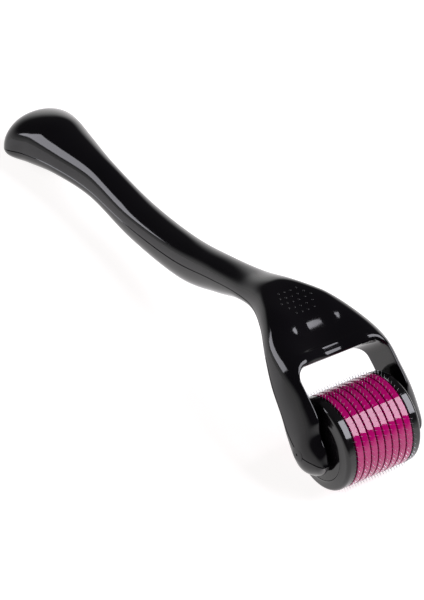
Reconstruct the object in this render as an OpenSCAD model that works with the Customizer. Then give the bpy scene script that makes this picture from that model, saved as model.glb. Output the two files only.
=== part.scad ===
// Hand roller with a free-running drum of needle discs between the arms of a moulded fork handle.
// Millimetres. X runs along the drum's axle, +Y from the drum to the grip's end, +Z up.
// The roller lies on its back: needle tips and the bulb of the grip touch z = 0.
// The origin lies below the middle of the axle.

/* [Drum] */
// Outside diameter of the spacer rings
spacer_d = 20; // [16:0.5:22]
// How far each needle stands above the spacers
needle_len = 1; // [0.5:0.1:1.5]
// Needles on one disc
needle_count = 60; // [24:1:72]
// Width of a needle at its root
needle_w = 0.34; // [0.2:0.02:0.5]
// Thickness of a stamped needle disc
disc_t = 0.3; // [0.2:0.05:0.4]
// Distance from one disc to the next
disc_pitch = 1.79; // [1.6:0.01:1.8]
// Width of the cylindrical land on each end cap
cap_land = 1.3; // [1:0.1:1.5]
// Rounding between the land and the domed face of a cap
cap_round = 0.9; // [0.4:0.1:1]
// How far the cap's face rises towards its middle
cap_dome = 0.7; // [0.3:0.1:0.9]

/* [Axle] */
// Diameter of the axle pin
axle_d = 2; // [1.6:0.1:2.4]
// Radial running clearance of the drum on the axle
axle_play = 0.05; // [0.02:0.01:0.09]
// Diameter of the hub that carries discs and spacers
hub_d = 8; // [6:0.5:10]

/* [Fork and shells] */
// Clear gap between the fork's arms
fork_gap = 22.4; // [22:0.1:23]
// Radius of the window's corners
window_round = 3; // [1:0.5:4]
// Wall of the hollow shells
wall = 1.8; // [1.2:0.1:2]
// Depth of the thumb dip
dip_depth = 1.5; // [0:0.1:1.6]
// Depth of the scoop in front of the drum window
scoop_depth = 2.7; // [1:0.1:2.8]

/* [Hidden] */
$fn = 96;
DISCS = 9;

black = "#141214";
magenta = "#c01478";
steel = "#c9ccd0";
ivory = "#d8d4cc";

tip_r = spacer_d / 2 + needle_len;   // needle tips
axle_z = tip_r;                      // height of the axle over the table
stack_w = disc_pitch * (DISCS - 1);  // first disc to last disc
stack_end = stack_w / 2 + disc_t / 2;
hub_flat = hub_d - 1;                // across the two driving flats
slip = 0.05;                         // clearance of discs and spacers on the hub
hub_end = stack_end + 0.8;           // the hub reaches into each cap
arm_clear = 0.3;                     // between a cap's boss and its arm
boss_r = 2.2;
axle_end = fork_gap / 2 + 2;
lock_r = 1.6;                        // round boss on the back shell that closes the axle seat
lock_t = 1.6;
eps = 0.4;                           // overrun of a cutting shape

// Handle stations from the grip's end to the arm tips, all on the seam between the shells:
// [y, z, half width, height above the seam, depth below it, lean of the section,
//  squareness above the seam, squareness below it]
stations = [
    [130.6,  2.9,  1.0,  1.0, 0.6,  12, 2.1, 2.1],
    [129.7,  3.1,  3.8,  3.7, 2.3,  12, 2.1, 2.1],
    [127.1,  3.9,  7.3,  6.3, 3.9,   5, 2.1, 2.1],
    [123.5,  5.1,  9.5,  7.5, 4.2,   7, 2.1, 2.1],
    [117.6,  7.1,  8.2,  7.7, 4.9,   1, 2.1, 2.1],
    [109.0,  9.0,  6.5,  6.2, 4.3,  12, 2.1, 2.1],
    [ 96.3, 10.2,  4.6,  5.1, 4.0,  12, 2.1, 2.1],
    [ 80.3, 10.8,  4.4,  4.0, 5.6,  11, 2.1, 2.1],
    [ 62.4, 13.4,  4.2,  4.0, 6.2,  15, 2.1, 2.1],
    [ 48.6, 18.0,  4.2,  3.4, 4.9,  13, 2.1, 2.1],
    [ 38.9, 21.6,  4.8,  3.0, 3.3,   9, 2.2, 2.1],
    [ 31.1, 23.9,  6.0,  4.2, 2.7,   5, 2.4, 2.1],
    [ 23.9, 24.8,  8.9,  4.8, 3.0,  -3, 3.0, 2.1],
    [ 17.1, 23.3, 12.2,  4.8, 4.0, -18, 4.2, 2.2],
    [ 11.7, 19.9, 13.9,  8.0, 3.7, -32, 5.3, 2.4],
    [  7.3, 15.9, 14.3,  9.4, 2.2, -40, 5.7, 2.5],
    [  3.5, 13.1, 14.7,  9.0, 4.5, -35, 5.5, 4.3],
    [ -1.0, 11.3, 14.9,  6.4, 6.9, -12, 5.0, 6.3],
    [ -4.6, 11.1, 13.7,  3.9, 5.2,  -3, 4.0, 4.9],
    [ -6.1, 11.0, 12.5,  0.8, 0.8,   4, 3.0, 3.0]
];
last = len(stations) - 1;
ring_steps = 2;    // rings from one station to the next
half_points = 8;   // points from the middle of a ring to its edge
hollow_end = 12.6; // the hollow ends here, short of the window's wall
hollow_start = 2.5;
// Shallow hollows in the head: [depth, place along the handle, half length, half width]
dips = [[dip_depth, 23.5, 8, 7.5], [scoop_depth, 13.3, 8, 11]];

// Catmull-Rom blend of column k at place u
function at(k, u) =
    let (i = min(max(floor(u), 0), last - 1), t = u - i,
         p0 = stations[max(i - 1, 0)][k], p1 = stations[i][k],
         p2 = stations[i + 1][k], p3 = stations[min(i + 2, last)][k])
    0.5 * (2 * p1 + (p2 - p0) * t + (2 * p0 - 5 * p1 + 4 * p2 - p3) * pow(t, 2)
        + (3 * p1 - p0 - 3 * p2 + p3) * pow(t, 3));
function up(u) = [0, sin(at(5, u)), cos(at(5, u))];
function seat(u) = [0, at(0, u), at(1, u)];
function bump(r) = r >= 1 ? 0 : pow(1 - r * r, 2);
function one_dip(d, x, y) = d[0] * bump(norm([x / d[3], (y - d[1]) / d[2]]));
function dip(x, y) = one_dip(dips[0], x, y) + one_dip(dips[1], x, y);
function arch(s, p) = pow(max(1 - pow(abs(s), p), 0), 1 / 2.1);

// One point of the skin: s runs from -1 to 1 across, side is 1 above the seam and -1 below it
function skin(u, s, side, inset) =
    let (w = at(2, u) - inset, h = (side > 0 ? at(3, u) : at(4, u)) - inset,
         x = w * s, lift = h * arch(s, at(side > 0 ? 6 : 7, u)) - (side > 0 ? dip(x, at(0, u)) : 0))
    seat(u) + [x, 0, 0] + up(u) * side * max(lift, 0);
function across(j) = sin(90 * j / half_points);
function ring(u, side, inset, sink) = concat(
    sink > 0 ? [seat(u) + [-(at(2, u) - inset), 0, 0] - up(u) * side * sink] : [],
    [for (j = [-half_points:half_points]) skin(u, across(j), side, inset)],
    sink > 0 ? [seat(u) + [at(2, u) - inset, 0, 0] - up(u) * side * sink] : []);

module loft(from, to, side, inset = 0, sink = 0) {
    rows = round((to - from) * ring_steps);
    rings = [for (i = [0:rows]) ring(from + (to - from) * i / rows, side, inset, sink)];
    n = len(rings[0]);
    points = [for (r = rings, p = r) p];
    skin_faces = [for (i = [0:rows - 1], j = [0:n - 1], f = [0, 1])
        let (a = i * n + j, b = i * n + (j + 1) % n, c = b + n, d = a + n)
        f == 0 ? [a, b, c] : [a, c, d]];
    ends = [[for (j = [n - 1:-1:0]) j], [for (j = [0:n - 1]) rows * n + j]];
    faces = concat(skin_faces, ends);
    polyhedron(points, side > 0 ? faces : [for (f = faces) [for (k = [len(f) - 1:-1:0]) f[k]]]);
}

// Window and drum space: a rounded slot cut square to the arms, measured from the axle
window_lean = 40.7;
window_top = 15.9;
window_low = 48;
window_deep = 40;
module window() {
    half = fork_gap / 2;
    r = window_round;
    translate([0, 0, axle_z]) rotate([window_lean, 0, 0]) translate([0, 0, -window_deep])
        linear_extrude(2 * window_deep) union() {
            translate([-half, -window_low]) square([2 * half, window_low + window_top - r]);
            translate([-half + r, window_top - 2 * r]) square([2 * (half - r), 2 * r]);
            for (side = [-1, 1]) translate([side * (half - r), window_top - r]) circle(r);
        }
}

module along_x(from, to) {
    translate([from, 0, 0]) rotate([0, 90, 0]) linear_extrude(to - from) children();
}
module axle_line(from, to, r) {
    translate([0, 0, axle_z]) along_x(from, to) circle(r);
}

// A shell's half of the handle, hollow up to the window's wall; resize keeps it one mesh at its own size
module hollow(side) {
    resize([0, 0, 0]) difference() {
        loft(0, last, side);
        loft(hollow_start, hollow_end, side, wall, eps);
        window();
    }
}

module front_shell() {
    color(black) difference() {
        hollow(1);
        axle_line(-axle_end, axle_end, axle_d / 2);
        for (s = [-1, 1]) mirror([s < 0 ? 1 : 0, 0, 0]) axle_line(axle_end, axle_end + 4, lock_r);
    }
}

module back_shell() {
    color(black) difference() {
        union() {
            hollow(-1);
            for (s = [-1, 1]) mirror([s < 0 ? 1 : 0, 0, 0])
                axle_line(axle_end, axle_end + lock_t, lock_r);
        }
        axle_line(-axle_end, axle_end, axle_d / 2);
    }
}

module axle_pin() {
    color(steel) axle_line(-axle_end, axle_end, axle_d / 2);
}

module hub_form(grow) {
    intersection() {
        circle(hub_d / 2 + grow);
        square([hub_flat + 2 * grow, hub_d + 2], center = true);
    }
}

module drum_hub() {
    color(ivory) translate([0, 0, axle_z]) difference() {
        along_x(-hub_end, hub_end) hub_form(0);
        along_x(-hub_end - eps, hub_end + eps) circle(axle_d / 2 + axle_play);
    }
}

// Star disc: a short root circle with sharp needles; odd and even discs are half a needle apart
function star(turn) = [for (i = [0:needle_count - 1], k = [-1:2])
    let (a = turn + 360 * i / needle_count, root = spacer_d / 2 - 0.3,
         da = asin(needle_w / 2 / root), gap = 180 / needle_count)
    k == 0 ? tip_r * [cos(a), sin(a)]
    : k == 2 ? root * [cos(a + gap), sin(a + gap)]
    : root * [cos(a + k * da), sin(a + k * da)]];

module needle_disc(i) {
    turn = i % 2 == 0 ? 0 : 180 / needle_count;
    x = (i - (DISCS + 1) / 2) * disc_pitch;
    color(steel) translate([0, 0, axle_z]) along_x(x - disc_t / 2, x + disc_t / 2) difference() {
        polygon(star(turn));
        hub_form(slip);
    }
}

module spacer(i) {
    x = (i - (DISCS + 1) / 2) * disc_pitch;
    color(magenta) translate([0, 0, axle_z])
        along_x(x + disc_t / 2, x + disc_pitch - disc_t / 2) difference() {
            circle(spacer_d / 2);
            hub_form(slip);
        }
}

// Domed cap, its profile as [distance from the stack, radius]
module end_cap(side) {
    r = spacer_d / 2;
    out = fork_gap / 2 - arm_clear - stack_end;
    face = cap_land + cap_round;
    profile = concat([[0, 0], [0, r]],
        [for (a = [90:-15:0]) [cap_land + cap_round * cos(a), r - cap_round + cap_round * sin(a)]],
        [[face + cap_dome, boss_r + 1.2], [face + cap_dome, boss_r], [out, boss_r], [out, 0]]);
    color(black) translate([0, 0, axle_z]) mirror([side < 0 ? 1 : 0, 0, 0])
        translate([stack_end, 0, 0]) difference() {
            rotate([0, 90, 0]) rotate_extrude() polygon([for (p = profile) [p[1], p[0]]]);
            along_x(-eps, hub_end - stack_end) hub_form(0);
            along_x(-eps, out + eps) circle(axle_d / 2 + axle_play);
        }
}

front_shell();
back_shell();
axle_pin();
drum_hub();
end_cap(-1);  // left_end_cap
end_cap(1);  // right_end_cap
for (i = [1:DISCS]) needle_disc(i);
for (i = [1:DISCS - 1]) spacer(i);
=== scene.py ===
import math
import bmesh
import bpy
from mathutils import Matrix, Vector


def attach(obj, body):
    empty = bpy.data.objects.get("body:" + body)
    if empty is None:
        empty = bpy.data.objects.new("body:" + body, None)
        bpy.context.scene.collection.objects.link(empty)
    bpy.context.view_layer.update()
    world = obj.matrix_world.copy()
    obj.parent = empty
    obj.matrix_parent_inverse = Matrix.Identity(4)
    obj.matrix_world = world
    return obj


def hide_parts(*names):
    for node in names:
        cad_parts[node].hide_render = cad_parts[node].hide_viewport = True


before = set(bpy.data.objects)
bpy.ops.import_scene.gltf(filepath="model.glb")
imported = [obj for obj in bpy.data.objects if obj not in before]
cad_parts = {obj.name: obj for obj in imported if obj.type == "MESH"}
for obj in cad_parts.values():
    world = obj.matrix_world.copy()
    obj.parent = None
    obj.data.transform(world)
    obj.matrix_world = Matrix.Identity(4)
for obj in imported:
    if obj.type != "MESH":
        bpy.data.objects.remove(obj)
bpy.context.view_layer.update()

# Lengths in the dictionaries are millimetres unless a name says otherwise; meshes are scaled to metres.
mm = 0.001
print("frame loaded with", len(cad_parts), "nodes")


# ---- camera, floor and light ----
cameraSetup = {
    "aim": (-16.0, 31.7, 29.0),  # the point in the middle of the picture
    "distance": 513.8,
    "azimuth": -38.6,            # degrees, 0 looks along +Y
    "elevation": 39.5,
    "roll": 6.4,
    "lens": 212.3,               # on a sensor 36 mm wide
}


def outward(azimuth, elevation):
    # unit vector from the object towards a place at that azimuth and elevation
    a, e = math.radians(azimuth), math.radians(elevation)
    return Vector((math.sin(a) * math.cos(e), -math.cos(a) * math.cos(e), math.sin(e)))


def placeCamera(setup):
    data = bpy.data.cameras.new("camera")
    data.lens = setup["lens"]
    data.sensor_fit = "HORIZONTAL"
    data.sensor_width = 36
    data.clip_start = 0.01
    data.clip_end = 20
    camera = bpy.data.objects.new("camera", data)
    bpy.context.scene.collection.objects.link(camera)
    back = outward(setup["azimuth"], setup["elevation"])
    turn = back.to_track_quat("Z", "Y").to_matrix() @ Matrix.Rotation(math.radians(setup["roll"]), 3, "Z")
    place = (Vector(setup["aim"]) + back * setup["distance"]) * mm
    camera.matrix_world = Matrix.Translation(place) @ turn.to_4x4()
    bpy.context.scene.camera = camera


placeCamera(cameraSetup)


def toLinear(hexColour):
    # sRGB hex to the linear values that shaders take
    values = [int(hexColour[i:i + 2], 16) / 255 for i in (1, 3, 5)]
    linear = [v / 12.92 if v <= 0.04045 else ((v + 0.055) / 1.055) ** 2.4 for v in values]
    return (*linear, 1)


def addNode(tree, kind, settings=None, inputs=None):
    # inputs maps a socket's name or number to a value, or to (node, output) for a link
    node = tree.nodes.new(kind)
    for name, value in (settings or {}).items():
        setattr(node, name, value)
    for name, value in (inputs or {}).items():
        if isinstance(value, tuple) and isinstance(value[0], bpy.types.Node):
            tree.links.new(value[0].outputs[value[1]], node.inputs[name])
        else:
            node.inputs[name].default_value = value
    return node


def newMaterial(name):
    material = bpy.data.materials.new(name)
    material.use_nodes = True
    material.node_tree.nodes.clear()
    return material, material.node_tree


tableSetup = {
    "halfWidth": 1500,
    "colour": "#f4f2f1",
    "sheet": "#a5a4a3",   # the sheet itself, which keeps the softboxes from doubling its glow
    "glow": 0.98,      # the table is a lit sheet, just over white with the softboxes on it
    "grain": 2.5,      # size of the faint mottling
    "roughness": (0.45, 0.55),
}


def makeTable(setup):
    # Opal acrylic sheet, cast with a satin face and lit from below: an even white with no sharp mirror image
    half = setup["halfWidth"] * mm
    mesh = bpy.data.meshes.new("table")
    corners = [(-half, -half, 0), (half, -half, 0), (half, half, 0), (-half, half, 0)]
    mesh.from_pydata(corners, [], [(0, 1, 2, 3)])
    table = bpy.data.objects.new("table", mesh)
    bpy.context.scene.collection.objects.link(table)
    material, tree = newMaterial("opal acrylic, cast and satin faced")
    place = addNode(tree, "ShaderNodeTexCoord")
    mottle = addNode(tree, "ShaderNodeTexNoise", None,
                     {"Vector": (place, "Object"), "Scale": 1 / (setup["grain"] * mm), "Detail": 2.0})
    rough = addNode(tree, "ShaderNodeMapRange", None, {
        "Value": (mottle, "Fac"), "To Min": setup["roughness"][0], "To Max": setup["roughness"][1]})
    shader = addNode(tree, "ShaderNodeBsdfPrincipled", None, {
        "Base Color": toLinear(setup["sheet"]), "Roughness": (rough, "Result"),
        "Emission Color": toLinear(setup["colour"]), "Emission Strength": setup["glow"]})
    addNode(tree, "ShaderNodeOutputMaterial", None, {"Surface": (shader, "BSDF")})
    mesh.materials.append(material)


makeTable(tableSetup)

lightSetup = {
    # alongAxle turns a softbox so that two of its sides run parallel to the axle, as far as it can face
    # the object: the drum then shows one straight band of light
    "rightSoftbox": {"azimuth": 52.5, "elevation": 49.2, "distance": 620, "width": 440, "height": 440,
                     "radiance": 8.0, "alongAxle": True},
    "leftSoftbox": {"azimuth": -133, "elevation": 22, "distance": 620, "width": 270, "height": 210,
                    "radiance": 6.5, "alongAxle": False},
}


def makeSoftbox(name, setup):
    width, height = setup["width"] * mm, setup["height"] * mm
    data = bpy.data.lights.new(name, "AREA")
    data.shape = "RECTANGLE"
    data.size = width
    data.size_y = height
    data.energy = setup["radiance"] * math.pi * width * height
    data.color = (0.93, 0.92, 1.0)
    light = bpy.data.objects.new(name, data)
    bpy.context.scene.collection.objects.link(light)
    back = outward(setup["azimuth"], setup["elevation"])
    turn = back.to_track_quat("Z", "Y").to_matrix()
    if setup["alongAxle"]:
        along = (Vector((1, 0, 0)) - back * back.x).normalized()
        turn = Matrix((along, back.cross(along), back)).transposed()
    light.matrix_world = Matrix.Translation(back * setup["distance"] * mm) @ turn.to_4x4()
    light.visible_camera = False


for lightName, lightNumbers in lightSetup.items():
    makeSoftbox(lightName, lightNumbers)

roomSetup = {
    "horizon": "#ffffff",
    "horizonStrength": 1.0,
    "ceiling": 0.05,      # strength of the dim room above
    "edges": (0.0, 0.3),  # height of the view direction where the white ends and the room begins
}


def makeRoom(setup):
    world = bpy.data.worlds.new("studio")
    bpy.context.scene.world = world
    world.use_nodes = True
    tree = world.node_tree
    tree.nodes.clear()
    place = addNode(tree, "ShaderNodeTexCoord")
    parts = addNode(tree, "ShaderNodeSeparateXYZ", None, {"Vector": (place, "Generated")})
    low, high = setup["edges"]
    fade = addNode(tree, "ShaderNodeMapRange", {"interpolation_type": "SMOOTHSTEP"}, {
        "Value": (parts, "Z"), "From Min": low, "From Max": high,
        "To Min": setup["horizonStrength"], "To Max": setup["ceiling"]})
    glow = addNode(tree, "ShaderNodeBackground", None,
                   {"Color": toLinear(setup["horizon"]), "Strength": (fade, "Result")})
    addNode(tree, "ShaderNodeOutputWorld", None, {"Surface": (glow, "Background")})


makeRoom(roomSetup)
bpy.context.scene.view_settings.view_transform = "Standard"
print("camera, table and lights placed")


# ---- materials ----
def glossMaterial(name, setup):
    # Polished injection-moulded plastic: a deep clear gloss, a very faint waviness from shrinkage,
    # and a film of handling marks that dulls the shine in patches
    material, tree = newMaterial(name)
    place = addNode(tree, "ShaderNodeTexCoord")
    wave = addNode(tree, "ShaderNodeTexNoise", None, {
        "Vector": (place, "Object"), "Scale": 1 / (setup["waveSize"] * mm), "Detail": 1.0})
    marks = addNode(tree, "ShaderNodeTexNoise", None, {
        "Vector": (place, "Object"), "Scale": 1 / (setup["markSize"] * mm), "Detail": 6.0, "Roughness": 0.65})
    rough = addNode(tree, "ShaderNodeMapRange", None, {
        "Value": (marks, "Fac"), "From Min": 0.3, "From Max": 0.75,
        "To Min": setup["roughness"][0], "To Max": setup["roughness"][1]})
    tint = addNode(tree, "ShaderNodeMix", {"data_type": "RGBA"}, {
        0: (wave, "Fac"), 6: toLinear(setup["colours"][0]), 7: toLinear(setup["colours"][1])})
    relief = addNode(tree, "ShaderNodeBump", None, {
        "Height": (wave, "Fac"), "Strength": setup["waveStrength"], "Distance": setup["waveHeight"] * mm})
    shader = addNode(tree, "ShaderNodeBsdfPrincipled", None, {
        "Base Color": (tint, 2), "Roughness": (rough, "Result"), "Normal": (relief, "Normal"),
        "IOR": setup["ior"], "Specular IOR Level": setup["shine"]})
    addNode(tree, "ShaderNodeOutputMaterial", None, {"Surface": (shader, "BSDF")})
    return material


handleBlack = glossMaterial("black ABS, moulded in a polished tool", {
    "colours": ("#08070a", "#0d0b0e"), "roughness": (0.05, 0.1), "ior": 1.53, "shine": 0.34,
    "waveSize": 9, "waveHeight": 0.02, "waveStrength": 0.25, "markSize": 3})
capBlack = glossMaterial("black polystyrene, moulded and polished", {
    "colours": ("#0a090a", "#100e10"), "roughness": (0.06, 0.12), "ior": 1.59, "shine": 0.42,
    "waveSize": 5, "waveHeight": 0.01, "waveStrength": 0.2, "markSize": 2})
spacerMagenta = glossMaterial("magenta polystyrene, moulded and polished", {
    "colours": ("#960054", "#a80462"), "roughness": (0.02, 0.05), "ior": 1.59, "shine": 0.42,
    "waveSize": 4, "waveHeight": 0.01, "waveStrength": 0.2, "markSize": 2})


def steelMaterial(name, setup):
    # Stamped and electropolished stainless steel: bright, with fine rolling lines that stretch the glints
    material, tree = newMaterial(name)
    place = addNode(tree, "ShaderNodeTexCoord")
    lines = addNode(tree, "ShaderNodeMapping", None, {
        "Vector": (place, "Object"), "Scale": (1.0, 1.0, setup["lineStretch"])})
    grain = addNode(tree, "ShaderNodeTexNoise", None, {
        "Vector": (lines, "Vector"), "Scale": 1 / (setup["lineSize"] * mm), "Detail": 3.0})
    rough = addNode(tree, "ShaderNodeMapRange", None, {
        "Value": (grain, "Fac"), "To Min": setup["roughness"][0], "To Max": setup["roughness"][1]})
    tint = addNode(tree, "ShaderNodeMix", {"data_type": "RGBA"}, {
        0: (grain, "Fac"), 6: toLinear(setup["colours"][0]), 7: toLinear(setup["colours"][1])})
    shader = addNode(tree, "ShaderNodeBsdfPrincipled", None, {
        "Base Color": (tint, 2), "Metallic": 1.0, "Roughness": (rough, "Result")})
    addNode(tree, "ShaderNodeOutputMaterial", None, {"Surface": (shader, "BSDF")})
    return material


needleSteel = steelMaterial("stainless steel, stamped and electropolished", {
    "colours": ("#a9abb0", "#c4c6cb"), "roughness": (0.22, 0.35), "lineSize": 0.15, "lineStretch": 6.0})
axleSteel = steelMaterial("stainless steel, centreless ground", {
    "colours": ("#b9bcc2", "#d0d2d7"), "roughness": (0.12, 0.22), "lineSize": 0.2, "lineStretch": 1.0})
hubAcetal = glossMaterial("natural acetal, moulded", {
    "colours": ("#d6d2c6", "#e2ded2"), "roughness": (0.35, 0.5), "ior": 1.48, "shine": 0.5,
    "waveSize": 3, "waveHeight": 0.02, "waveStrength": 0.3, "markSize": 1})
print("materials made")


# ---- the handle's shells ----
handleShape = {
    # y, z, half width, height above the seam, depth below it, lean, squareness above and below
    "stations": [
        [130.6,  2.9,  1.0,  1.0, 0.6,  12, 2.1, 2.1],
        [129.7,  3.1,  3.8,  3.7, 2.3,  12, 2.1, 2.1],
        [127.1,  3.9,  7.3,  6.3, 3.9,   5, 2.1, 2.1],
        [123.5,  5.1,  9.5,  7.5, 4.2,   7, 2.1, 2.1],
        [117.6,  7.1,  8.2,  7.7, 4.9,   1, 2.1, 2.1],
        [109.0,  9.0,  6.5,  6.2, 4.3,  12, 2.1, 2.1],
        [ 96.3, 10.2,  4.6,  5.1, 4.0,  12, 2.1, 2.1],
        [ 80.3, 10.8,  4.4,  4.0, 5.6,  11, 2.1, 2.1],
        [ 62.4, 13.4,  4.2,  4.0, 6.2,  15, 2.1, 2.1],
        [ 48.6, 18.0,  4.2,  3.4, 4.9,  13, 2.1, 2.1],
        [ 38.9, 21.6,  4.8,  3.0, 3.3,   9, 2.2, 2.1],
        [ 31.1, 23.9,  6.0,  4.2, 2.7,   5, 2.4, 2.1],
        [ 23.9, 24.8,  8.9,  4.8, 3.0,  -3, 3.0, 2.1],
        [ 17.1, 23.3, 12.2,  4.8, 4.0, -18, 4.2, 2.2],
        [ 11.7, 19.9, 13.9,  8.0, 3.7, -32, 5.3, 2.4],
        [  7.3, 15.9, 14.3,  9.4, 2.2, -40, 5.7, 2.5],
        [  3.5, 13.1, 14.7,  9.0, 4.5, -35, 5.5, 4.3],
        [ -1.0, 11.3, 14.9,  6.4, 6.9, -12, 5.0, 6.3],
        [ -4.6, 11.1, 13.7,  3.9, 5.2,  -3, 4.0, 4.9],
        [ -6.1, 11.0, 12.5,  0.8, 0.8,   4, 3.0, 3.0],
    ],
    "roundness": 2.1,       # how full a section's crown is
    # depth, place along the handle, half length, half width
    "dips": [(1.5, 23.5, 8.0, 7.5), (2.7, 13.3, 8.0, 11.0)],
    "forkGap": 22.4,
    "windowLean": 40.7,     # degrees
    "windowTop": 15.9,      # from the axle, along the arms
    "windowRound": 3.0,
    "edgeRound": 0.6,       # rounding of the window's edges
    "seamGroove": 0.15,     # half width and depth of the groove between the shells
    "lipRound": 2.0,        # rounding below the lip, at the window's top
    "lipPlace": 18.3,       # from the axle, along the arms
    "lipHeight": 0.28,
    "lipWidth": 0.45,
    "lipHalfLength": 9.5,
    "lipStart": 12,         # station from which the lip may rise
    "archStart": 12.6,      # station where the search for the window's edge begins
    "headRow": 13.0,        # station where the arms begin to part
    "spreadStart": 8,       # station from which the mesh columns spread to suit the arms
}
gridCounts = {"rowsPerStation": 12, "headRows": 26, "straight": 30, "corner": 9, "arm": 12, "edge": 5}
axleHeight = 11.0


def shapeAt(u):
    # Catmull-Rom blend of all eight columns at place u
    rows = handleShape["stations"]
    i = min(max(int(math.floor(u)), 0), len(rows) - 2)
    t = u - i
    before, start, end, after = rows[max(i - 1, 0)], rows[i], rows[i + 1], rows[min(i + 2, len(rows) - 1)]
    return [0.5 * (2 * b + (c - a) * t + (2 * a - 5 * b + 4 * c - d) * t ** 2
                   + (3 * b - a - 3 * c + d) * t ** 3)
            for a, b, c, d in zip(before, start, end, after)]


def armReach(point):
    # distance from the axle along the arms
    lean = math.radians(handleShape["windowLean"])
    return point[1] * math.cos(lean) + (point[2] - axleHeight) * math.sin(lean)


def skinPoint(u, x, side):
    # side is 1 above the seam, -1 below it and 0 on it
    y, z, halfWidth, above, below, lean, squareTop, squareLow = shapeAt(u)
    s = min(abs(x) / max(halfWidth, 1e-6), 1)
    height, squareness = (above, squareTop) if side > 0 else (below, squareLow)
    lift = height * max(1 - s ** squareness, 0) ** (1 / handleShape["roundness"])
    if side > 0:
        for depth, place, halfLength, width in handleShape["dips"]:
            r = math.hypot(x / width, (y - place) / halfLength)
            lift -= depth * (1 - r * r) ** 2 if r < 1 else 0
    lift = max(lift, 0) * abs(side)
    a = math.radians(lean)
    point = Vector((x, y + math.sin(a) * side * lift, z + math.cos(a) * side * lift))
    if side > 0 and u > handleShape["lipStart"]:
        # a low ridge across the head above the window
        across = 1 - min(abs(x) / handleShape["lipHalfLength"], 1) ** 6
        ridge = handleShape["lipHeight"] * across * math.exp(
            -((armReach(point) - handleShape["lipPlace"]) / handleShape["lipWidth"]) ** 2)
        point += Vector((0, math.sin(a), math.cos(a))) * ridge
    return point


def placeOfReach(x, reach, side):
    # the place u on the head or an arm where the skin at x lies that far from the axle
    low, high = handleShape["archStart"], len(handleShape["stations"]) - 1.0
    for _ in range(30):
        middle = (low + high) / 2
        if armReach(skinPoint(middle, x, side)) > reach:
            low = middle
        else:
            high = middle
    return (low + high) / 2


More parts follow.
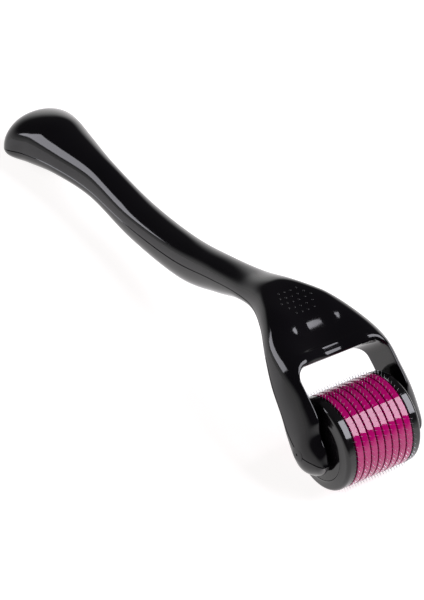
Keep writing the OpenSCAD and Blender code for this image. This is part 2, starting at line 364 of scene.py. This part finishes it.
def buildShell(side):
    # One half of the handle as a closed mesh of strips; side is 1 for the front shell and -1 for the back
    shape, counts = handleShape, gridCounts
    last = len(shape["stations"]) - 1
    headRow, inner, corner = shape["headRow"], shape["forkGap"] / 2, shape["windowRound"]
    middleX, middleReach = inner - corner, shape["windowTop"] - corner
    lean = math.radians(shape["windowLean"])
    through = Vector((0, -math.sin(lean), math.cos(lean))) * side  # out of the window on this shell's side
    mesh = bmesh.new()

    def addGrid(rows):
        verts = [[mesh.verts.new(p) for p in row] for row in rows]
        for a, b in zip(verts, verts[1:]):
            for i in range(len(a) - 1):
                mesh.faces.new((a[i], a[i + 1], b[i + 1], b[i]))

    def addFace(points):
        mesh.faces.new([mesh.verts.new(p) for p in points])

    def rim(u):
        # the groove's bottom and its edge, as points for x > 0
        y, z, halfWidth, above, below, _, squareTop, squareLow = shapeAt(u)
        height, squareness = (above, squareTop) if side > 0 else (below, squareLow)
        groove = min(shape["seamGroove"], 0.3 * halfWidth, 0.3 * height)
        s = (1 - (groove / height) ** shape["roundness"]) ** (1 / squareness)
        return Vector((halfWidth - groove, y, z)), skinPoint(u, halfWidth * s, side)

    def mirrored(point):
        return Vector((-point[0], point[1], point[2]))

    # columns of the window's edge: corner arcs at both ends and a straight run between them
    def edgeColumns(extraSide, extraTop):
        arc = [math.pi / 2 * (1 - i / counts["corner"]) for i in range(counts["corner"])]
        r, top = corner + extraSide, corner + extraTop
        left = [(-middleX - r * math.sin(a), middleReach + top * math.cos(a)) for a in arc]
        straight = [(-middleX + 2 * middleX * i / counts["straight"], middleReach + top)
                    for i in range(counts["straight"] + 1)]
        return left + straight + [(-x, reach) for x, reach in left[::-1]]

    lipRound = shape["lipRound"] if side > 0 else shape["edgeRound"]
    outerEdge, trueEdge = edgeColumns(shape["edgeRound"], lipRound), edgeColumns(0, 0)
    armX = inner + shape["edgeRound"]
    armSteps = [math.sin(math.pi / 2 * k / counts["arm"]) for k in range(counts["arm"])]

    def armRow(u, sign):
        # from the arm's inner side out to the groove, or mirrored for the left arm
        edge = rim(u)
        reach = edge[1][0] - armX
        points = [skinPoint(u, armX + reach * step, side) for step in armSteps] + [edge[1], edge[0]]
        return points if sign > 0 else [mirrored(p) for p in points[::-1]]

    # the full width, from the grip's end to the row where the arms part
    headXs = [p[0] for p in armRow(headRow, -1)][2:-1] + [x for x, _ in outerEdge] \
        + [p[0] for p in armRow(headRow, 1)][1:-2]
    headShares = [x / shapeAt(headRow)[2] for x in headXs]
    evenShares = [math.sin(math.pi * ((i + 1) / (len(headXs) + 1) - 0.5)) for i in range(len(headXs))]
    rows = []
    steps = int(headRow * counts["rowsPerStation"])
    for i in range(steps + 1):
        u = headRow * i / steps
        blend = min(max((u - shape["spreadStart"]) / (headRow - shape["spreadStart"]), 0), 1)
        blend = blend * blend * (3 - 2 * blend)
        edge = rim(u)
        limit = edge[1][0]
        xs = [limit / 0.999 * (a + (b - a) * blend) if blend < 1 else b * shapeAt(u)[2]
              for a, b in zip(evenShares, headShares)]
        most = limit * 0.9999  # the columns stay just inside the groove's edge
        middle = [skinPoint(u, max(-most, min(most, x)), side) for x in xs]
        rows.append([mirrored(edge[0]), mirrored(edge[1])] + middle + [edge[1], edge[0]])
    addGrid(rows)
    addFace(rows[0])
    # the hidden seam face of the full width, one strip to a row
    for a, b in zip(rows[:-1], rows[1:-1]):
        addFace([a[0], b[0], b[-1], a[-1]])
    chord = [Vector((x, shapeAt(headRow)[0], shapeAt(headRow)[1])) for x, _ in trueEdge]
    addFace([rows[-2][0], rows[-1][0]] + chord + [rows[-1][-1], rows[-2][-1]])

    # the head between the arms, down to the window's edge
    edgePlaces = [placeOfReach(x, reach, side) for x, reach in outerEdge]
    addGrid([[skinPoint(headRow + (place - headRow) * i / counts["headRows"], x, side)
              for (x, _), place in zip(outerEdge, edgePlaces)] for i in range(counts["headRows"] + 1)])

    # the arms
    cornerPlace = edgePlaces[0]
    upper = [headRow + (cornerPlace - headRow) * i / counts["headRows"] for i in range(counts["headRows"])]
    lowerSteps = int((last - cornerPlace) * counts["rowsPerStation"])
    lower = [cornerPlace + (last - cornerPlace) * i / lowerSteps for i in range(lowerSteps + 1)]
    for sign in (-1, 1):
        addGrid([armRow(u, sign) for u in upper + lower])

    # the rounded edge and the wall of the window: skin, sharp corner, wall, then the seam
    def edgeStrip(skin, sharp):
        reach = armReach(sharp)
        seamPlace = placeOfReach(sharp[0], reach, 0)
        seam = Vector((sharp[0], shapeAt(seamPlace)[0], shapeAt(seamPlace)[1]))
        drop = (sharp - seam).dot(through)
        seam = sharp - through * max(drop, 0.02) if seamPlace < last - 0.01 else seam
        fall = min(0.8 * (sharp - skin).length, 0.45 * (sharp - seam).length)
        wall = sharp + (seam - sharp).normalized() * fall
        points = [skin * (1 - t) ** 2 + sharp * 2 * t * (1 - t) + wall * t * t
                  for t in [i / counts["edge"] for i in range(counts["edge"] + 1)]]
        return points + [wall.lerp(seam, 0.12), seam]

    armLine = [edgeStrip(skinPoint(u, armX, side), skinPoint(u, inner, side)) for u in lower[1:]]
    topLine = [edgeStrip(skinPoint(place, x, side), skinPoint(placeOfReach(sx, reach, side), sx, side))
               for (x, _), place, (sx, reach) in zip(outerEdge, edgePlaces, trueEdge)]
    leftLine = [[mirrored(p) for p in strip] for strip in armLine[::-1]]
    loop = leftLine + topLine + armLine
    addGrid(loop)

    # hidden seam faces of the head and arms, and the arms' ends
    seamTop = [strip[-1] for strip in topLine]
    for i in range(len(chord) - 1):
        addFace([chord[i], seamTop[i], seamTop[i + 1], chord[i + 1]])
    upperRims = [rim(u)[0] for u in upper + lower[:1]]
    lowerRims = [rim(u)[0] for u in lower]
    seamArm = [topLine[-1][-1]] + [strip[-1] for strip in armLine]
    rightFaces = [[chord[-1], seamTop[-1]] + upperRims[::-1]]
    rightFaces += [[seamArm[i], seamArm[i + 1], lowerRims[i + 1], lowerRims[i]]
                   for i in range(len(lower) - 1)]
    rightFaces.append(armRow(last, 1)[::-1] + armLine[-1][1:])
    for points in rightFaces:
        addFace(points)
        addFace([mirrored(p) for p in points])
    joinDistance = 0.0015  # neighbouring strips meet to well within this, far below any detail
    bmesh.ops.remove_doubles(mesh, verts=mesh.verts, dist=joinDistance)
    bmesh.ops.dissolve_degenerate(mesh, edges=mesh.edges, dist=joinDistance / 3)
    bmesh.ops.recalc_face_normals(mesh, faces=mesh.faces)
    return mesh


def finishMesh(mesh, name, material, sharpAngle=35):
    # scales a millimetre bmesh to metres and makes it a smooth-shaded object at the origin
    bmesh.ops.scale(mesh, vec=(mm, mm, mm), verts=mesh.verts)
    data = bpy.data.meshes.new(name)
    mesh.to_mesh(data)
    mesh.free()
    data.shade_smooth()
    data.set_sharp_from_angle(angle=math.radians(sharpAngle))
    data.materials.append(material)
    piece = bpy.data.objects.new(name, data)
    bpy.context.scene.collection.objects.link(piece)
    return piece


def spin(mesh, profile, closed, count=128, middle=(0, 0, axleHeight)):
    # turns a profile of (x, radius) points round the axle; a closed profile makes a ring
    rings = []
    for x, radius in profile:
        if radius < 1e-6:
            rings.append([mesh.verts.new((x + middle[0], middle[1], middle[2]))])
            continue
        rings.append([mesh.verts.new((x + middle[0], middle[1] + radius * math.cos(2 * math.pi * k / count),
                                      middle[2] + radius * math.sin(2 * math.pi * k / count)))
                      for k in range(count)])
    pairs = list(zip(rings, rings[1:] + (rings[:1] if closed else [])))
    for a, b in pairs[:len(rings) if closed else len(rings) - 1]:
        for k in range(count):
            n = (k + 1) % count
            if len(a) == 1:
                mesh.faces.new((a[0], b[n], b[k]))
            elif len(b) == 1:
                mesh.faces.new((a[k], a[n], b[0]))
            else:
                mesh.faces.new((a[k], a[n], b[n], b[k]))


lockShape = {
    "station": 16.85,   # place of the axle on the arm
    "radius": 1.6, "depth": 0.8,
    "proud": 0.08, "crown": 0.15, "crownAngle": 1.1,
    "dimpleRadius": 0.28, "dimpleDepth": 0.35,
}


def addLock(mesh, sign):
    # the round end of the axle seat on an arm's outer side, with the mould's pin mark in its middle
    shape = lockShape
    outside = shapeAt(shape["station"])[2] + shape["proud"]
    r, crown, full = shape["radius"], shape["crown"], shape["crownAngle"]
    inside = outside - crown - shape["depth"]
    profile = [(inside, 0), (inside, r)]
    profile += [(outside - crown * (1 - math.cos(a)) / (1 - math.cos(full)), r * math.sin(a) / math.sin(full))
                for a in [full * (1 - i / 8) for i in range(7)]]
    floor = outside - shape["dimpleDepth"]
    profile += [(outside, shape["dimpleRadius"]), (floor, shape["dimpleRadius"] * 0.7), (floor, 0)]
    spin(mesh, [(sign * x, radius) for x, radius in profile], closed=False, count=48)


frontShell = finishMesh(buildShell(1), "front_shell_skin", handleBlack)
backMesh = buildShell(-1)
for armSign in (-1, 1):
    addLock(backMesh, armSign)
bmesh.ops.recalc_face_normals(backMesh, faces=backMesh.faces)
backShell = finishMesh(backMesh, "back_shell_skin", handleBlack)
for shell, node in ((frontShell, "front_shell"), (backShell, "back_shell")):
    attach(shell, "handle")
    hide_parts(node)
print("shells built:", len(frontShell.data.polygons), "and", len(backShell.data.polygons), "faces")


# ---- what repeats: thumb dots and needles, made by Geometry Nodes ----
def newTree(name, inputs):
    # a geometry tree with named inputs; returns it with its input node
    tree = bpy.data.node_groups.new(name, "GeometryNodeTree")
    tree.interface.new_socket("Geometry", in_out="INPUT", socket_type="NodeSocketGeometry")
    for label, kind in inputs:
        tree.interface.new_socket(label, in_out="INPUT", socket_type=kind)
    tree.interface.new_socket("Geometry", in_out="OUTPUT", socket_type="NodeSocketGeometry")
    return tree, addNode(tree, "NodeGroupInput")


def growPiece(base, tree, values, name):
    # runs the tree on the base mesh, keeps the result as a plain mesh and drops the modifier
    modifier = base.modifiers.new("grow", "NODES")
    modifier.node_group = tree
    for item in tree.interface.items_tree:
        if item.item_type == "SOCKET" and item.in_out == "INPUT" and item.name in values:
            modifier[item.identifier] = values[item.name]
    ready = base.evaluated_get(bpy.context.evaluated_depsgraph_get())
    mesh = bpy.data.meshes.new_from_object(ready)
    mesh.name = name
    bpy.data.objects.remove(base)
    piece = bpy.data.objects.new(name, mesh)
    bpy.context.scene.collection.objects.link(piece)
    return piece


def plainObject(mesh, name):
    bmesh.ops.scale(mesh, vec=(mm, mm, mm), verts=mesh.verts)
    data = bpy.data.meshes.new(name)
    mesh.to_mesh(data)
    mesh.free()
    base = bpy.data.objects.new(name, data)
    bpy.context.scene.collection.objects.link(base)
    return base


dotShape = {
    "rows": (4, 5, 6, 5, 4),
    "across": 1.5,          # between the dots of a row
    "along": 1.45,          # between rows
    "start": 11.55,         # station of the first row
    "stationLength": 7.0,   # from one station to the next under the dots
    "radius": 0.27, "flatness": 0.55,
}


def dotTree():
    tree, given = newTree("raised dots", [("Dot radius", "NodeSocketFloat"), ("Flatness", "NodeSocketFloat"),
                                          ("Finish", "NodeSocketMaterial")])
    ball = addNode(tree, "GeometryNodeMeshUVSphere", None, {
        "Segments": 12, "Rings": 6, "Radius": (given, "Dot radius")})
    normal = addNode(tree, "GeometryNodeInputNormal")
    turn = addNode(tree, "FunctionNodeAlignRotationToVector", {"axis": "Z"}, {"Vector": (normal, "Normal")})
    size = addNode(tree, "ShaderNodeCombineXYZ", None, {"X": 1.0, "Y": 1.0, "Z": (given, "Flatness")})
    dots = addNode(tree, "GeometryNodeInstanceOnPoints", None, {
        "Points": (given, "Geometry"), "Instance": (ball, "Mesh"),
        "Rotation": (turn, "Rotation"), "Scale": (size, "Vector")})
    real = addNode(tree, "GeometryNodeRealizeInstances", None, {"Geometry": (dots, "Instances")})
    smooth = addNode(tree, "GeometryNodeSetShadeSmooth", None, {"Geometry": (real, "Geometry")})
    painted = addNode(tree, "GeometryNodeSetMaterial", None, {
        "Geometry": (smooth, "Geometry"), "Material": (given, "Finish")})
    addNode(tree, "NodeGroupOutput", None, {"Geometry": (painted, "Geometry")})
    return tree


def makeDots(shape):
    # a patch with one point for each dot, rows staggered by half a step
    patch = bmesh.new()
    rows = []
    for i, count in enumerate(shape["rows"]):
        u = shape["start"] + i * shape["along"] / shape["stationLength"]
        xs = [(k - (count - 1) / 2) * shape["across"] for k in range(count)]
        rows.append([patch.verts.new(skinPoint(u, x, 1)) for x in xs])
    for a, b in zip(rows, rows[1:]):
        wide, narrow = (a, b) if len(a) > len(b) else (b, a)
        for k in range(len(narrow)):
            patch.faces.new((wide[k], wide[k + 1], narrow[k]))
            if k:
                patch.faces.new((wide[k], narrow[k], narrow[k - 1]))
    bmesh.ops.recalc_face_normals(patch, faces=patch.faces)
    if sum((f.normal.z for f in patch.faces)) < 0:
        bmesh.ops.reverse_faces(patch, faces=patch.faces)
    return growPiece(plainObject(patch, "dot patch"), dotTree(), {
        "Dot radius": shape["radius"] * mm, "Flatness": shape["flatness"],
        "Finish": handleBlack}, "thumb_dots")


thumbDots = makeDots(dotShape)
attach(thumbDots, "handle")
print("thumb dots made")

drumShape = {
    "discs": 9, "pitch": 1.79, "discThickness": 0.3, "spacerRadius": 10.0, "spacerEdge": 0.1,
    "boreRadius": 4.05, "discRadius": 9.35, "needles": 60, "needleLength": 1.0, "needleRadius": 0.1,
}


def needleTree():
    tree, given = newTree("needle crown", [
        ("Needles", "NodeSocketInt"), ("Root radius", "NodeSocketFloat"), ("Length", "NodeSocketFloat"),
        ("Needle radius", "NodeSocketFloat"), ("Turn", "NodeSocketFloat"), ("Place", "NodeSocketVector"),
        ("Finish", "NodeSocketMaterial")])
    ring = addNode(tree, "GeometryNodeMeshCircle", None, {
        "Vertices": (given, "Needles"), "Radius": (given, "Root radius")})
    cone = addNode(tree, "GeometryNodeMeshCone", None, {
        "Vertices": 8, "Side Segments": 1, "Radius Top": 0.000012, "Radius Bottom": (given, "Needle radius"),
        "Depth": (given, "Length")})
    spot = addNode(tree, "GeometryNodeInputPosition")
    turn = addNode(tree, "FunctionNodeAlignRotationToVector", {"axis": "Z"}, {"Vector": (spot, "Position")})
    crown = addNode(tree, "GeometryNodeInstanceOnPoints", None, {
        "Points": (ring, "Mesh"), "Instance": (cone, "Mesh"), "Rotation": (turn, "Rotation")})
    real = addNode(tree, "GeometryNodeRealizeInstances", None, {"Geometry": (crown, "Instances")})
    smooth = addNode(tree, "GeometryNodeSetShadeSmooth", None, {"Geometry": (real, "Geometry")})
    angles = addNode(tree, "ShaderNodeCombineXYZ", None, {"X": 0.0, "Y": math.pi / 2, "Z": 0.0})
    spun = addNode(tree, "ShaderNodeCombineXYZ", None, {"X": 0.0, "Y": 0.0, "Z": (given, "Turn")})
    first = addNode(tree, "GeometryNodeTransform", None, {
        "Geometry": (smooth, "Geometry"), "Rotation": (spun, "Vector")})
    second = addNode(tree, "GeometryNodeTransform", None, {
        "Geometry": (first, "Geometry"), "Rotation": (angles, "Vector"), "Translation": (given, "Place")})
    both = addNode(tree, "GeometryNodeJoinGeometry", None, {"Geometry": (second, "Geometry")})
    tree.links.new(given.outputs["Geometry"], both.inputs["Geometry"])
    painted = addNode(tree, "GeometryNodeSetMaterial", None, {
        "Geometry": (both, "Geometry"), "Material": (given, "Finish")})
    addNode(tree, "NodeGroupOutput", None, {"Geometry": (painted, "Geometry")})
    return tree


def makeDrum(shape):
    crown = needleTree()
    halfDisc, root = shape["discThickness"] / 2, shape["discRadius"] - 0.1
    length = shape["spacerRadius"] + shape["needleLength"] - root
    for i in range(1, shape["discs"] + 1):
        x = (i - (shape["discs"] + 1) / 2) * shape["pitch"]
        disc = bmesh.new()
        spin(disc, [(x - halfDisc, shape["boreRadius"]), (x - halfDisc, shape["discRadius"]),
                    (x + halfDisc, shape["discRadius"]), (x + halfDisc, shape["boreRadius"])], closed=True)
        bmesh.ops.recalc_face_normals(disc, faces=disc.faces)
        turn = 0 if i % 2 == 0 else math.pi / shape["needles"]
        piece = growPiece(plainObject(disc, "disc"), crown, {
            "Needles": shape["needles"], "Root radius": root * mm, "Length": length * mm,
            "Needle radius": shape["needleRadius"] * mm, "Turn": turn,
            "Place": (x * mm, 0.0, axleHeight * mm), "Finish": needleSteel}, "needle_crown_%d" % i)
        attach(piece, "drum")
        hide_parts("needle_disc_%d" % i)
    soft = shape["spacerEdge"]
    arc = [math.pi / 2 * k / 4 for k in range(5)]
    for i in range(1, shape["discs"]):
        low = (i - (shape["discs"] + 1) / 2) * shape["pitch"] + halfDisc
        high = low + shape["pitch"] - shape["discThickness"]
        r = shape["spacerRadius"]
        profile = [(low, shape["boreRadius"])]
        profile += [(low + soft - soft * math.cos(a), r - soft + soft * math.sin(a)) for a in arc]
        profile += [(high - soft + soft * math.sin(a), r - soft + soft * math.cos(a)) for a in arc]
        profile += [(high, shape["boreRadius"])]
        ring = bmesh.new()
        spin(ring, profile, closed=True, count=160)
        bmesh.ops.recalc_face_normals(ring, faces=ring.faces)
        piece = finishMesh(ring, "spacer_ring_%d" % i, spacerMagenta)
        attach(piece, "drum")
        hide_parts("spacer_%d" % i)


makeDrum(drumShape)
print("needle crowns and spacers made")

capShape = {
    "start": 7.31, "radius": 10.0, "land": 1.3, "round": 0.9, "dome": 0.7, "bossRadius": 2.2, "out": 3.59,
    "boreRadius": 1.06, "creaseRadius": 7.6, "creaseWidth": 0.16, "creaseDepth": 0.1,
}


def makeCap(side, shape):
    r, soft = shape["radius"], shape["round"]
    face = shape["land"] + soft
    profile = [(0, shape["boreRadius"]), (0, r - 0.12), (0.12, r)]
    profile += [(shape["land"] + soft * math.sin(a), r - soft + soft * math.cos(a))
                for a in [math.pi / 2 * k / 8 for k in range(9)]]
    # the face rises to the boss in a shallow dome, with one fine turned crease
    steps, crease = 14, False
    for k in range(1, steps + 1):
        radius = r - soft - (r - soft - shape["bossRadius"] - 0.7) * k / steps
        rise = shape["dome"] * math.sin(math.pi / 2 * k / steps)
        if radius < shape["creaseRadius"] and not crease:
            crease = True
            outer, width = shape["creaseRadius"], shape["creaseWidth"]
            profile += [(face + rise, outer), (face + rise - shape["creaseDepth"], outer - width / 2),
                        (face + rise, outer - width)]
        else:
            profile.append((face + rise, radius))
    top = shape["out"]
    boss, chamfer = shape["bossRadius"], 0.15
    profile += [(face + shape["dome"] + 0.1, boss + chamfer), (face + shape["dome"] + 0.3, boss),
                (top - chamfer, boss), (top, boss - chamfer), (top, shape["boreRadius"])]
    mesh = bmesh.new()
    spin(mesh, [(side * (shape["start"] + x), radius) for x, radius in profile], closed=True, count=160)
    bmesh.ops.recalc_face_normals(mesh, faces=mesh.faces)
    return mesh


for capSide, word in ((-1, "left"), (1, "right")):
    cap = finishMesh(makeCap(capSide, capShape), word + "_cap_turned", capBlack)
    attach(cap, "drum")
    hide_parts(word + "_end_cap")

for node, material in (("axle_pin", axleSteel), ("drum_hub", hubAcetal)):
    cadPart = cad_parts[node]
    cadPart.data.materials.clear()
    cadPart.data.materials.append(material)
print("caps made, axle and hub finished")
